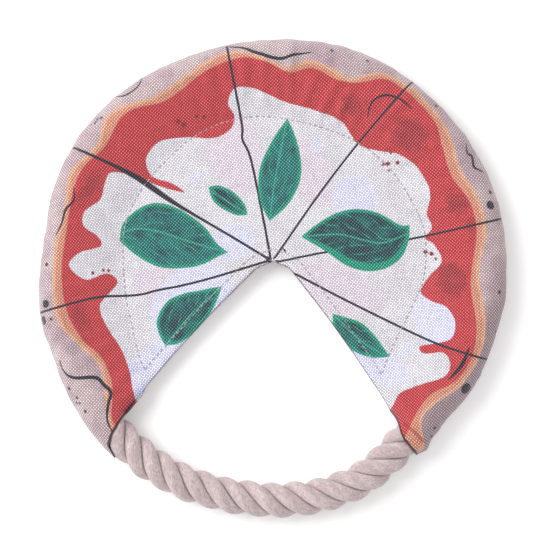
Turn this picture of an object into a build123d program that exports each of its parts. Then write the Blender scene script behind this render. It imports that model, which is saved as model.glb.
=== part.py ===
from build123d import *
import math
import os

# A soft flying ring: two canvas panels sewn into a disc whose rim is a tube round a thick rope.
# A V-shaped slice of the disc is left out, and the rope that crosses it bare is the handle.
#
# Millimetres. The disc lies flat, +Z up. X = Y = 0 is the centre of the rim, Z = 0 is the surface
# that the disc lies on, and the slice opens towards -Y.

# --- Driving dimensions --------------------------------------------------------------------

DISC_DIAMETER = 240.0       # over the fabric rim
ROPE_DIAMETER = 18.0
ROPE_PLAY = 0.3             # between the rope and the inside of the rim's tube, all round
CANVAS_THICKNESS = 0.7
REST_DEPTH = 0.3            # how far the rim's tube is pressed flat where it rests

SLICE_APEX = (0.8, 7.7)     # the inner end of the missing slice, a little off the disc's centre
SHOULDER_LENGTH = 9.2       # short blunt sides of the slice's tip, from the apex to either shoulder
SHOULDER_FALL = 24.0        # how steeply they fall away from the apex, in degrees
SLICE_LEFT_ANGLE = 228.4    # directions of the slice's long edges from its shoulders, in degrees
SLICE_RIGHT_ANGLE = 304.3
EDGE_BOW = 2.4              # how far the long edges bow into the fabric

WEB_HALF_THICKNESS = 1.45   # the flat middle: one canvas panel and half of the stiffening layer
CORE_THICKNESS = 1.5
SEAM_RADIUS = 78.0          # round seam that closes the rope's pocket
EDGE_SEAM_INSET = 6.0       # seams along the slice, measured from the fabric's edge
SEAM_ALLOWANCE = 1.5        # from a seam to the stiffening layer on one side, the pocket on the other

STITCH_PITCH = 3.0
STITCH_LENGTH = 2.4
THREAD_WIDTH = 0.6
THREAD_HEIGHT = 0.35

JOINT_FROM_MOUTH = 13.0     # degrees of rim from the left mouth back to the rope's butt joint
JOINT_GAP = 0.5             # between the rope's two ends
WRAP_LENGTH = 30.0
WRAP_THICKNESS = 0.2

# --- Dimensions that follow from them ------------------------------------------------------

ROPE_RADIUS = ROPE_DIAMETER / 2
PASSAGE_RADIUS = ROPE_RADIUS + ROPE_PLAY
TUBE_RADIUS = PASSAGE_RADIUS + CANVAS_THICKNESS
RING_RADIUS = DISC_DIAMETER / 2 - TUBE_RADIUS       # to the rope's centre line
MID_HEIGHT = TUBE_RADIUS - REST_DEPTH               # of the rope's centre line and of the web
WEB_RADIUS = SEAM_RADIUS + THREAD_WIDTH             # where the web ends and the rim's slope begins
POCKET_RADIUS = SEAM_RADIUS + SEAM_ALLOWANCE
CORE_RADIUS = SEAM_RADIUS - SEAM_ALLOWANCE

CUT_REACH = 2 * DISC_DIAMETER                       # longer than anything that it cuts


def heading(degrees, length=1.0):
    """The vector of a length that points in a direction of the disc's plane."""
    return Vector(length * math.cos(math.radians(degrees)), length * math.sin(math.radians(degrees)))


# --- The slice -----------------------------------------------------------------------------

def distance_to_circle(start, degrees, radius):
    """How far a line runs from a point inside the disc to a circle round its centre."""
    along = start.dot(heading(degrees))
    return -along + math.sqrt(along**2 + radius**2 - start.length**2)


def slice_edge(edge_angle, side):
    """One long edge of the slice, from its shoulder to the rim: 1 is the left side, -1 the right.

    Returns the shoulder, the middle of the bowed edge and its end on the rim."""
    fall = heading(270 - side * (90 - SHOULDER_FALL), SHOULDER_LENGTH)
    shoulder = Vector(*SLICE_APEX) + fall
    length = distance_to_circle(shoulder, edge_angle, DISC_DIAMETER / 2)
    bow = heading(edge_angle - side * 90, EDGE_BOW)
    return shoulder, shoulder + heading(edge_angle, length / 2) + bow, \
        shoulder + heading(edge_angle, length)


def slice_plan(inset=0.0):
    """The missing slice in plan, widened by an inset all round."""
    apex = Vector(*SLICE_APEX)
    left_shoulder, left_middle, left_end = slice_edge(SLICE_LEFT_ANGLE, side=1)
    right_shoulder, right_middle, right_end = slice_edge(SLICE_RIGHT_ANGLE, side=-1)
    tip = Polyline(left_shoulder, apex, right_shoulder)
    left = ThreePointArc(left_shoulder, left_middle, left_end)
    right = ThreePointArc(right_shoulder, right_middle, right_end)
    outside = Polyline(left_end, left_end + heading(SLICE_LEFT_ANGLE, CUT_REACH),
                       right_end + heading(SLICE_RIGHT_ANGLE, CUT_REACH), right_end)
    plan = make_face(tip + left + right + outside)
    return offset(plan, inset) if inset else plan


def slice_block(inset=0.0):
    """The missing slice as a block through the disc, widened by an inset all round."""
    return extrude(slice_plan(inset), amount=TUBE_RADIUS, both=True)


# --- Panels --------------------------------------------------------------------------------

def tangent_point(start_radius, start_height, circle_radius):
    """Where a line from a point inside the rim touches the top of the rim's tube."""
    across = RING_RADIUS - start_radius
    reach = math.hypot(across, start_height)
    slope = math.asin(circle_radius / reach) - math.asin(start_height / reach)
    return (RING_RADIUS - circle_radius * math.sin(slope), circle_radius * math.cos(slope))


def half_section(start_radius, start_height, circle_radius, closing):
    """Upper half of a teardrop section: a slope from a point, then a round tube.

    The closing points lead from the tube's outer side back to the start."""
    start = (start_radius, start_height)
    touch = tangent_point(start_radius, start_height, circle_radius)
    crest = (RING_RADIUS, circle_radius)
    side = (RING_RADIUS + circle_radius, 0)
    slope = Line(start, touch)
    tube = ThreePointArc(touch, crest, side)
    back = Polyline(side, *closing, start)
    return Plane.XZ * make_face(slope + tube + back)


def upper_canvas():
    """The upper panel about the disc's middle plane, before the slice and pockets are cut."""
    section = half_section(WEB_RADIUS, WEB_HALF_THICKNESS, TUBE_RADIUS,
                           closing=[(0, 0), (0, WEB_HALF_THICKNESS)])
    rest_cap = Pos(0, 0, MID_HEIGHT) * extrude(Circle(DISC_DIAMETER), amount=TUBE_RADIUS)
    return revolve(section, Axis.Z) - rest_cap - slice_block()


def rope_pocket():
    """The hollow under the upper panel round the rope, closed along the slice's edges."""
    section = half_section(POCKET_RADIUS, 0, PASSAGE_RADIUS, closing=[(RING_RADIUS, 0)])
    return revolve(section, Axis.Z) - slice_block(CANVAS_THICKNESS)


def rope_passage():
    """The round way that the rope takes through the rim and out of both mouths."""
    return Torus(RING_RADIUS, PASSAGE_RADIUS)


def core_solid(thickness):
    """The stiffening layer's outline, clear of the seams round it."""
    disc = extrude(Circle(CORE_RADIUS), amount=thickness / 2, both=True)
    return disc - slice_block(EDGE_SEAM_INSET + SEAM_ALLOWANCE)


def make_front_panel():
    panel = upper_canvas() - rope_pocket() - rope_passage() - core_solid(CORE_THICKNESS)
    return panel


def make_back_panel():
    return mirror(make_front_panel(), about=Plane.XY)


# --- Rope ----------------------------------------------------------------------------------

def rim_arc(radius, thickness, length, middle_angle):
    """A tube, or a rod if the thickness is the radius, bent along a stretch of the rim."""
    section = Circle(radius)
    if thickness < radius:
        section -= Circle(radius - thickness)
    turn = math.degrees(length / RING_RADIUS)
    profile = Plane.XZ * (Pos(RING_RADIUS, 0) * section)
    return Rot(0, 0, middle_angle - turn / 2) * revolve(profile, Axis.Z, turn)


def joint_angle():
    """Direction of the rope's butt joint, hidden in the rim behind the left mouth."""
    shoulder, _, _ = slice_edge(SLICE_LEFT_ANGLE, side=1)
    length = distance_to_circle(shoulder, SLICE_LEFT_ANGLE, RING_RADIUS)
    mouth = shoulder + heading(SLICE_LEFT_ANGLE, length)
    return math.degrees(math.atan2(mouth.Y, mouth.X)) - JOINT_FROM_MOUTH


def make_rope():
    length = 2 * math.pi * RING_RADIUS - JOINT_GAP
    return rim_arc(ROPE_RADIUS, ROPE_RADIUS, length, joint_angle() + 180)


def make_rope_wrap():
    return rim_arc(ROPE_RADIUS + WRAP_THICKNESS, WRAP_THICKNESS, WRAP_LENGTH, joint_angle())


# --- Seams ---------------------------------------------------------------------------------

def seam_edges():
    """The round seam, then the seams along the slice's left and right edges."""
    region = Circle(SEAM_RADIUS) - slice_plan(EDGE_SEAM_INSET)
    *edge_seams, round_seam = region.edges().sort_by(SortBy.LENGTH)
    left = [edge for edge in edge_seams if edge.center().X < SLICE_APEX[0]]
    right = [edge for edge in edge_seams if edge.center().X >= SLICE_APEX[0]]
    return [round_seam], left, right


def stitches_along(edges):
    """Stitches laid end to end along a seam, on the upper side of the web."""
    stitch = extrude(SlotOverall(STITCH_LENGTH, THREAD_WIDTH), THREAD_HEIGHT)
    laid = []
    for edge in edges:
        count = max(1, round(edge.length / STITCH_PITCH))
        for index in range(count):
            share = (index + 0.5) / count
            place = edge.position_at(share)
            tangent = edge.tangent_at(share)
            turn = math.degrees(math.atan2(tangent.Y, tangent.X))
            laid.append(Pos(place.X, place.Y, WEB_HALF_THICKNESS) * Rot(0, 0, turn) * stitch)
    return laid


# --- The whole ring ------------------------------------------------------------------------

def write_node(name, solids):
    """Lift one or more solids from the middle plane to their height, and save them."""
    lifted = [Pos(0, 0, MID_HEIGHT) * solid for solid in solids]
    whole = lifted[0] if len(lifted) == 1 else Compound(children=lifted)
    export_step(whole, f"parts/{name}.step")
    print(name, len(solids), "solids")


def main():
    os.makedirs("parts", exist_ok=True)
    write_node("front_panel", [make_front_panel()])
    write_node("back_panel", [make_back_panel()])
    write_node("core_insert", [core_solid(CORE_THICKNESS)])
    write_node("rope_ring", [make_rope()])
    write_node("rope_joint_wrap", [make_rope_wrap()])

    seam_names = ["rim_stitches", "left_edge_stitches", "right_edge_stitches"]
    for name, edges in zip(seam_names, seam_edges()):
        upper = stitches_along(edges)
        write_node("front_" + name, upper)
        write_node("back_" + name, [mirror(stitch, about=Plane.XY) for stitch in upper])


main()
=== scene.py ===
import bpy
import math
import numpy as np
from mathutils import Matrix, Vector


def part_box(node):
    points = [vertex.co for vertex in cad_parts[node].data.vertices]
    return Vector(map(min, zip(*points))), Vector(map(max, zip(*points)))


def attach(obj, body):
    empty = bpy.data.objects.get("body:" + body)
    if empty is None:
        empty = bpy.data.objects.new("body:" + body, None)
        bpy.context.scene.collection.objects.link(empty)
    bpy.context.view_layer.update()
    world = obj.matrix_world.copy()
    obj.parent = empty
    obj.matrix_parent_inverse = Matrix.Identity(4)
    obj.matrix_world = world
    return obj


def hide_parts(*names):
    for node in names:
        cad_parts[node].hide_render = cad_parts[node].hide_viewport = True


# The looks of a soft flying ring: two canvas panels round a twisted cotton rope, the upper one
# printed, with a missing slice across which the rope is the handle.
# Lengths are in millimetres and angles in degrees, and meshes are scaled to metres as they are
# made. Angles about the ring's centre run anticlockwise from +X, seen from above.

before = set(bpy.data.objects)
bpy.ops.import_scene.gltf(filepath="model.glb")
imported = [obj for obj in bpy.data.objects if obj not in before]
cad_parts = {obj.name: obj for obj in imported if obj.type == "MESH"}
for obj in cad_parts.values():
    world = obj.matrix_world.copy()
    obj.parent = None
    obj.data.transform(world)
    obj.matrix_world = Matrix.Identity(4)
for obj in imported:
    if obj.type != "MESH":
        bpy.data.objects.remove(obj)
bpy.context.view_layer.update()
MM = 0.001
UP = np.array([0.0, 0.0, 1.0])
TINY = 1e-9  # keeps a division away from zero
FAR = 1e3  # further than anything on the ring
BLOCK = 4_000_000  # distances worked out at a time
rng = np.random.default_rng(7)


# --- Dimensions

def box_mm(node):
    """Lowest and highest corner of a CAD node, in millimetres."""
    low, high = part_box(node)
    return np.array(low) / MM, np.array(high) / MM


ROPE_LOW, ROPE_HIGH = box_mm("rope_ring")
_, PANEL_HIGH = box_mm("front_panel")
SEAM_LOW, SEAM_HIGH = box_mm("front_rim_stitches")

THREAD_WIDTH = 0.6
CANVAS = 0.7  # thickness of one panel
ROPE_RADIUS = (ROPE_HIGH[2] - ROPE_LOW[2]) / 2
MID = (ROPE_HIGH[2] + ROPE_LOW[2]) / 2  # height of the disc's middle plane
RING = ROPE_HIGH[0] - ROPE_RADIUS  # radius of the rope's centre line
TUBE = PANEL_HIGH[0] - RING  # radius of the rim's tube, outside
SEAM = SEAM_HIGH[1] - THREAD_WIDTH / 2  # radius of the round seam
WEB_HALF = SEAM_LOW[2] - MID  # half thickness of the flat middle
WEB = SEAM + THREAD_WIDTH  # where the flat middle ends
ROPE_CREST = ROPE_RADIUS + 0.3  # clear of the highest strand

# The slice, as in the CAD model: its tip, two short blunt sides, then two bowed edges.
APEX = np.array([0.8, 7.7])
SHOULDER_LENGTH = 9.2
SHOULDER_FALL = 24.0
LEFT_EDGE = 228.4
RIGHT_EDGE = -55.7
EDGE_BOW = 2.4
EDGE_SEAM_INSET = 6.0

# The round seam wanders: direction, radius at which it was sewn.
SEAM_WANDER = [
    (-43, 75.0), (-36, 72.3), (-27, 70.7), (-19, 71.3), (-10, 73.5), (-2, 76.6), (6, 78.6), (16, 80.6),
    (30, 80.6), (47, 81.0), (60, 80.4), (75, 79.4), (99, 81.5), (115, 81.2), (135, 79.2), (150, 79.2),
    (163, 78.1), (173, 75.8), (182, 74.6), (192, 74.6), (201, 75.4), (211, 78.3), (218, 79.9),
    (240, 78.0), (290, 76.0)]

# How far the rim stands out of round: direction, millimetres outwards.
OUT_OF_ROUND = [
    (0, -0.8), (20, 0.9), (45, 1.4), (70, 2.1), (90, 0.0), (110, -0.7), (140, 0.8), (158, -0.8),
    (170, -3.2), (180, -2.3), (190, -0.9), (200, -1.9), (210, -0.5), (225, 1.6), (240, 3.4), (260, 3.1),
    (280, 3.8), (291, 3.2), (298, 1.5), (306, -2.2), (316, -4.5), (322, -5.0), (330, -3.2), (345, -2.4),
    (355, -0.7)]


# --- Small geometry helpers

def smooth(t):
    """Smooth step from 0 to 1."""
    t = np.clip(t, 0.0, 1.0)
    return t * t * (3 - 2 * t)


def polar(degrees, radius):
    """Points from angles and radii, as an array with a last axis of two."""
    angle = np.radians(degrees)
    return np.stack([radius * np.cos(angle), radius * np.sin(angle)], axis=-1)


def periodic(knots, degrees):
    """A smooth closed curve through (angle, value) knots, read at some angles."""
    angle, value = np.array(sorted((angle % 360, value) for angle, value in knots), float).T
    count = len(knots)
    angle = np.concatenate([angle - 360, angle, angle + 360])
    value = np.tile(value, 3)
    slope = (np.roll(value, -1) - np.roll(value, 1)) / (np.roll(angle, -1) - np.roll(angle, 1))
    slope[0] = slope[count]
    slope[-1] = slope[2 * count - 1]
    at = np.mod(degrees, 360.0)
    k = np.clip(np.searchsorted(angle, at, side="right") - 1, 0, len(angle) - 2)
    span = angle[k + 1] - angle[k]
    t = (at - angle[k]) / span
    return (value[k] * (2 * t**3 - 3 * t**2 + 1) + value[k + 1] * (3 * t**2 - 2 * t**3)
            + span * (slope[k] * (t**3 - 2 * t**2 + t) + slope[k + 1] * (t**3 - t**2)))


def through(points, steps=8):
    """A smooth open curve through points, as a fine run of points."""
    p = np.array(points, float)
    p = np.vstack([2 * p[0] - p[1], p, 2 * p[-1] - p[-2]])
    t = np.linspace(0, 1, steps, endpoint=False)[:, None]
    runs = []
    for a, b, c, d in zip(p, p[1:], p[2:], p[3:]):
        runs.append(0.5 * (2 * b + (c - a) * t + (2 * a - 5 * b + 4 * c - d) * t**2
                           + (3 * b - a - 3 * c + d) * t**3))
    return np.vstack(runs + [p[-2:-1]])


def unit(vectors):
    """Vectors of length 1 along the last axis."""
    return vectors / np.maximum(np.linalg.norm(vectors, axis=-1, keepdims=True), TINY)


def arc_length(line):
    """Length of a run of points up to each of them."""
    return np.concatenate([[0], np.cumsum(np.linalg.norm(np.diff(line, axis=0), axis=1))])


def read_line(line, run, at):
    """The points at some lengths along a run of points."""
    return np.stack([np.interp(at, run, column) for column in line.T], axis=1)


def nearest_on(points, line):
    """For each point: distance to a run of points, side of it (1 is left), share along it."""
    start, step = line[:-1], np.diff(line, axis=0)
    length2 = (step**2).sum(1)
    reach = arc_length(line)
    found = []
    for block in np.array_split(points, max(1, len(points) * len(line) // BLOCK)):
        away = block[:, None] - start[None]
        t = np.clip((away * step).sum(2) / length2, 0, 1)
        gap = away - t[..., None] * step
        distance = np.hypot(gap[..., 0], gap[..., 1])
        k = distance.argmin(1)
        row = np.arange(len(block))
        side = np.sign(step[k, 0] * away[row, k, 1] - step[k, 1] * away[row, k, 0])
        share = (reach[k] + t[row, k] * np.sqrt(length2[k])) / reach[-1]
        found.append(np.stack([distance[row, k], side, share], axis=1))
    return np.vstack(found).T


def inside(points, outline):
    """Which points lie inside a closed outline."""
    a, b = outline, np.roll(outline, -1, axis=0)
    held = []
    for block in np.array_split(points, max(1, len(points) * len(outline) // BLOCK)):
        x, y = block[:, :1], block[:, 1:]
        spans = (a[:, 1] > y) != (b[:, 1] > y)
        rise = np.where(a[:, 1] == b[:, 1], 1.0, b[:, 1] - a[:, 1])
        cross = a[:, 0] + (y - a[:, 1]) * (b[:, 0] - a[:, 0]) / rise
        held.append((spans & (x < cross)).sum(1) % 2 == 1)
    return np.concatenate(held)


def new_object(name, data):
    """An object in the scene that holds some data."""
    made = bpy.data.objects.new(name, data)
    bpy.context.scene.collection.objects.link(made)
    return made


def new_mesh(name, points, faces, scale=MM):
    mesh = bpy.data.meshes.new(name)
    faces = [tuple(map(int, face)) for face in faces]
    mesh.from_pydata((np.asarray(points) * scale).tolist(), [], faces)
    return mesh


def new_piece(name, points, faces, material):
    """A smooth-shaded mesh object from points in millimetres, riding on the ring's one body."""
    mesh = new_mesh(name, points, faces)
    mesh.validate()
    mesh.update()
    mesh.shade_smooth()
    mesh.materials.append(material)
    piece = new_object(name, mesh)
    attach(piece, "root")
    return piece


def grid_faces(rows, columns, closed=False, flip=False):
    """Faces of a grid of points, with the columns joined round if it is closed."""
    row = np.arange(rows - 1)[:, None]
    column = np.arange(columns if closed else columns - 1)[None]
    after = (column + 1) % columns
    corners = [row * columns + column, row * columns + after,
               (row + 1) * columns + after, (row + 1) * columns + column]
    faces = np.stack([np.broadcast_to(c, (rows - 1, column.size)) for c in corners], axis=-1)
    faces = faces.reshape(-1, 4)
    return faces[:, ::-1] if flip else faces


def tube_round(point, tangent, radius, turn):
    """Rings of points round the points of a line, from radii and from angles in radians."""
    outward = np.cross(tangent, UP)[:, None]
    return point[:, None] + radius[..., None] * (np.cos(turn)[..., None] * outward
                                                 + np.sin(turn)[..., None] * UP)


def add_field(piece, name, values):
    """A number, or a vector, kept at each vertex for the material to read."""
    values = np.asarray(values, np.float32)
    kind, key = ("FLOAT", "value") if values.ndim == 1 else ("FLOAT_VECTOR", "vector")
    attribute = piece.data.attributes.new(name, kind, "POINT")
    attribute.data.foreach_set(key, values.ravel())


# --- Materials: a short way to write node trees

class Graph:
    """A material's node tree, built by expressions on sockets."""

    def __init__(self, name):
        self.material = bpy.data.materials.new(name)
        self.material.use_nodes = True
        self.tree = self.material.node_tree
        self.tree.nodes.clear()

    def node(self, kind, inputs=(), **settings):
        made = self.tree.nodes.new(kind)
        for key, value in settings.items():
            setattr(made, key, value)
        for key, value in dict(inputs).items():
            self.feed(made.inputs[key], value)
        return made

    def feed(self, socket, value):
        if isinstance(value, bpy.types.NodeSocket):
            self.tree.links.new(value, socket)
        elif socket.type == "RGBA" and len(value) == 3:
            socket.default_value = (*value, 1)
        else:
            socket.default_value = value

    def math(self, operation, *values):
        return self.node("ShaderNodeMath", enumerate(values), operation=operation).outputs[0]

    def times(self, first, second):
        return self.math("MULTIPLY", first, second)

    def plus(self, first, second):
        return self.math("ADD", first, second)

    def minus(self, first, second):
        return self.math("SUBTRACT", first, second)

    def larger(self, first, second):
        return self.math("MAXIMUM", first, second)

    def size(self, value):
        return self.math("ABSOLUTE", value)

    def field(self, name, output="Fac"):
        return self.node("ShaderNodeAttribute", attribute_name=name).outputs[output]

    def blend(self, factor, first, second, mode="MIX"):
        made = self.node("ShaderNodeMix", data_type="RGBA", blend_type=mode)
        self.feed(made.inputs[0], factor)
        self.feed(made.inputs[6], first)
        self.feed(made.inputs[7], second)
        return made.outputs[2]

    def ramp(self, value, start, end, low=0.0, high=1.0):
        """A smooth change from low to high as a value goes from start to end."""
        ranges = {"Value": value, "From Min": start, "From Max": end, "To Min": low, "To Max": high}
        return self.node("ShaderNodeMapRange", ranges, interpolation_type="SMOOTHSTEP").outputs[0]

    def noise(self, vector, scale, detail=2.0, roughness=0.5):
        texture = self.node("ShaderNodeTexNoise", {"Vector": vector, "Scale": scale,
                                                   "Detail": detail, "Roughness": roughness})
        return texture.outputs[0]

    def place(self):
        """Coordinates on the object, in metres."""
        return self.node("ShaderNodeTexCoord").outputs["Object"]

    def split(self, vector):
        return self.node("ShaderNodeSeparateXYZ", {"Vector": vector}).outputs

    def join(self, x, y, z=0.0):
        return self.node("ShaderNodeCombineXYZ", {"X": x, "Y": y, "Z": z}).outputs[0]

    def stretch(self, vector, scale, turn=0.0):
        place = {"Vector": vector, "Scale": scale, "Rotation": (0, 0, math.radians(turn))}
        return self.node("ShaderNodeMapping", place).outputs[0]

    def finish(self, colour, roughness, height, depth, sheen=0.3, sheen_roughness=0.5,
               specular=0.25, glow=0.0):
        """A cloth-like surface, with the depth of its relief in millimetres."""
        bump = self.node("ShaderNodeBump", {"Height": height, "Strength": 1.0,
                                            "Distance": depth * MM})
        surface = self.node("ShaderNodeBsdfPrincipled", {
            "Base Color": colour, "Roughness": roughness, "Normal": bump.outputs[0],
            "Sheen Weight": sheen, "Sheen Roughness": sheen_roughness,
            "Specular IOR Level": specular, "Emission Strength": glow})
        output = self.node("ShaderNodeOutputMaterial")
        self.tree.links.new(surface.outputs[0], output.inputs[0])
        return self.material


# --- Canvas

YARN_PITCH = 0.87
YARN_TURN = -6.0  # the weave lies a little askew on the disc
YARN_FLATNESS = 0.45  # 1 is a round yarn, less is flatter
RELIEF = 0.16  # of the weave, in millimetres
CRUST = (0.52, 0.40, 0.435)
CRUST_PALE = (0.61, 0.50, 0.51)
# painted shade for the crust's lower right side
CRUST_PAINTED_SHADE = (0.41, 0.31, 0.34)
BAKED = (0.67, 0.33, 0.23)
BAKED_PALE = (0.74, 0.45, 0.32)
SAUCE = (0.59, 0.064, 0.075)
SAUCE_DARK = (0.38, 0.042, 0.056)
# the sauce's dark specks, and the painted shade along the crease
SPECK_AND_CREASE_SHADE = (0.30, 0.030, 0.040)
CHEESE = (0.79, 0.77, 0.825)
CHEESE_SHADE = (0.73, 0.705, 0.75)
LAVENDER = (0.76, 0.755, 0.94)
BLUSH = (0.78, 0.70, 0.78)
LEAF = (0.012, 0.36, 0.24)
LEAF_MIDDLE = (0.020, 0.24, 0.22)
LEAF_DARK = (0.016, 0.078, 0.095)
LEAF_VEIN = (0.05, 0.42, 0.31)
INK = (0.022, 0.022, 0.040)
HEM = (0.040, 0.026, 0.036)
EDGE_DARKNESS, MOUTH_DARKNESS = 0.6, 0.95
OUTLINE_SOFTNESS = 0.22  # of the print's outlines, in millimetres


def weave(g):
    """Plain weave read from the cloth's flat coordinates.

    Returns the relief, 0 in the gaps to 1 on a yarn's crown; a number that is above 0 where a
    warp yarn is on top; and noise that runs along the yarns."""
    turned = g.stretch(g.field("flat", "Vector"), (1 / YARN_PITCH,) * 3, YARN_TURN)
    x, y, _ = g.split(turned)
    wave_x, wave_y = [g.math("SINE", g.times(at, math.pi)) for at in (x, y)]
    over = g.times(wave_x, wave_y)
    high_x, high_y = g.size(wave_x), g.size(wave_y)
    warp = g.times(high_x, g.math("POWER", high_y, YARN_FLATNESS))
    weft = g.times(high_y, g.math("POWER", high_x, YARN_FLATNESS))
    warp_on_top = g.math("GREATER_THAN", over, 0.0)
    relief = g.plus(g.times(warp, warp_on_top), g.times(weft, g.minus(1.0, warp_on_top)))
    along_warp = g.noise(g.stretch(turned, (1.0, 0.10, 1.0)), 1.0, 3.0)
    along_weft = g.noise(g.stretch(turned, (0.10, 1.0, 1.0)), 1.0, 3.0)
    slub = g.times(g.plus(along_warp, along_weft), 0.5)
    return relief, warp_on_top, slub


def woven_colour(g, printed, relief, warp_on_top, slub, bare):
    """Printed colour on yarns: the warp pale and worn, the weft twice inked, in painted shade."""
    rubbed = g.blend(0.7, bare, g.blend(1.0, printed, (2.2, 2.2, 2.2), "MULTIPLY"))
    worn = g.times(warp_on_top, g.ramp(relief, 0.10, 0.55, 0.0, 0.35))
    colour = g.blend(worn, printed, rubbed)
    on_weft = g.minus(1.0, warp_on_top)
    inked = g.blend(1.0, printed, printed, "MULTIPLY")
    colour = g.blend(g.times(on_weft, 0.75), colour, inked)
    # painted shade on the weft yarns
    weft = g.minus(1.0, g.times(on_weft, 0.12))
    # painted shade in the gaps between yarns and painted light on their crowns
    gap = g.ramp(relief, 0.05, 0.6, 0.36, 1.11)
    shade = g.times(g.times(gap, weft), g.ramp(slub, 0.3, 0.7, 0.84, 1.14))
    return g.blend(1.0, colour, g.join(shade, shade, shade), "MULTIPLY")


def hemmed(g, colour):
    """Cloth colour with the dark edge along the slice, and a darker one round the mouths."""
    strength = g.ramp(g.field("mouth"), 0.0, 1.0, EDGE_DARKNESS, MOUTH_DARKNESS)
    near = g.ramp(g.field("hem"), 0.2, 0.6, 1.0, 0.0)
    return g.blend(g.times(near, strength), colour, HEM)


def plain_canvas():
    g = Graph("plain_canvas")
    relief, warp_on_top, slub = weave(g)
    blotch = g.noise(g.field("flat", "Vector"), 0.06, 3.0)
    tone = g.blend(g.ramp(blotch, 0.35, 0.65), CRUST, CRUST_PALE)
    colour = woven_colour(g, hemmed(g, tone), relief, warp_on_top, slub, CHEESE)
    return g.finish(colour, g.ramp(relief, 0.0, 1.0, 0.95, 0.8), relief, RELIEF)


def crust_colour(g, flat, blotch):
    """Crust, with painted shade towards the lower right, the side away from the lamp."""
    crust = g.blend(g.ramp(blotch, 0.38, 0.62), CRUST, CRUST_PALE)
    x, y, _ = g.split(flat)
    # painted shade: darker towards the lower right, away from the lamp
    lean = g.minus(g.times(x, 0.8), g.times(y, 0.6))
    return g.blend(g.ramp(lean, 88.0, 106.0, 0.0, 0.9), crust, CRUST_PAINTED_SHADE)


def baked_colour(g, flat):
    streak = g.plus(g.field("baked"), g.times(g.noise(flat, 0.2, 2.0), 2.0))
    return g.blend(g.ramp(streak, 2.2, 3.4), BAKED_PALE, BAKED)


def sauce_colour(g, flat):
    """Sauce with dark stains, whose outlines are ragged."""
    ragged = g.times(g.noise(flat, 0.35, 3.0, 0.7), 12.0)
    stain = g.plus(g.field("stain"), ragged)
    return g.blend(g.ramp(stain, 5.5, 9.0, 0.0, 0.7), SAUCE, SAUCE_DARK)


def printed_canvas():
    """The upper panel: a simple pizza print, drawn from the fields on the panel's mesh."""
    g = Graph("printed_canvas")
    relief, warp_on_top, slub = weave(g)
    flat = g.field("flat", "Vector")
    rough_edge = g.times(g.minus(relief, 0.5), 0.45)
    blotch = g.noise(flat, 0.055, 3.0)

    def mask(name, width=OUTLINE_SOFTNESS):
        return g.ramp(g.plus(g.field(name), rough_edge), -width, width)

    cheese = g.blend(g.ramp(blotch, 0.35, 0.65), CHEESE, CHEESE_SHADE)
    cheese = g.blend(mask("blush", 2.5), cheese, BLUSH)
    cheese = g.blend(mask("lavender", 0.8), cheese, LAVENDER)
    ink = g.larger(mask("dots"), g.larger(pen_line(g, "cut"), pen_line(g, "ink")))
    colour = crust_colour(g, flat, blotch)
    for shown, paint in ((mask("baked"), baked_colour(g, flat)),
                         (mask("sauce"), sauce_colour(g, flat)), (mask("cheese"), cheese),
                         (mask("specks"), SPECK_AND_CREASE_SHADE), (ink, INK), (mask("leaf"), leaf_colour(g))):
        colour = g.blend(shown, colour, paint)
    colour = woven_colour(g, colour, relief, warp_on_top, slub, CHEESE)
    # painted shade along the crease near the right mouth, in the speck colour
    crease_shade = g.ramp(g.field("crease"), 0.3, 1.4, 0.62, 0.0)
    colour = hemmed(g, g.blend(crease_shade, colour, SPECK_AND_CREASE_SHADE))
    return g.finish(colour, g.ramp(relief, 0.0, 1.0, 0.95, 0.78), relief, RELIEF)


def pen_line(g, name):
    """A pen stroke: thin in the field that changes sign across it, and near the stroke."""
    side = g.size(g.field(name + "_side"))
    thin = g.ramp(side, 0.80, 1.15, 1.0, 0.0)
    near = g.ramp(g.field(name + "_near"), 1.2, 1.9, 1.0, 0.0)
    return g.times(thin, near)


def leaf_colour(g):
    """A leaf with a bright rim, a dark blade, a midrib and side veins."""
    along = g.field("leaf_along")
    width = g.size(g.field("leaf_across"))
    flat = g.field("flat", "Vector")
    blade = g.ramp(g.field("leaf_blade"), 1.0, 2.1)
    swept = g.minus(along, g.times(width, 2.6))
    wavy = g.plus(swept, g.times(g.noise(flat, 0.07, 2.0), 22.0))
    vein = g.size(g.minus(g.math("FRACT", g.times(wavy, 0.085)), 0.5))
    broken = g.ramp(g.noise(flat, 0.12, 2.0), 0.42, 0.60, 0.15, 0.75)
    vein = g.times(g.ramp(vein, 0.02, 0.12, 1.0, 0.0), broken)
    midrib = g.ramp(width, 0.25, 0.7, 0.85, 0.0)
    uneven = g.plus(g.noise(flat, 0.10, 3.0, 0.6), g.field("leaf_tone"))
    dark = g.blend(g.ramp(uneven, 0.38, 0.72), LEAF_DARK, LEAF_MIDDLE)
    colour = g.blend(blade, LEAF, dark)
    return g.blend(g.larger(vein, midrib), colour, LEAF_VEIN)


# --- Panels

COLUMNS = 520
INNER_ROWS = 58
SLOPE_ROWS = 26
TUBE_ROWS = 26
ROW_CROWDING = 0.85  # under 1, rows lie closer together away from the slice's tip
FIRST_ROW = 0.002  # its share of the way from the tip to the round seam
FOLLOW_FROM = 0.65  # where rows start to bend to the slice's edge
SLOPE_BULGE = 0.5  # how far the slope stands proud of straight
EQUATOR_TUCK = 0.5  # how deep the outer seam pulls in
TUCK_START = 80.0  # direction in the section, from straight up
CLOSING_REACH = 2.4  # how far from the slice the cloth comes down
CLOSING_SPREAD = 1.3  # more reach for each millimetre of height
OVER_ROPE_BLEND = 1.2  # how softly it parts from the rope's tube
GATHER = 0.035  # share by which the rim narrows at a mouth
GATHER_LENGTH = 7.0
FLOOR_GAP = 0.02
EDGE_HEIGHT = 0.6  # of the cloth over the middle plane at the slice

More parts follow.
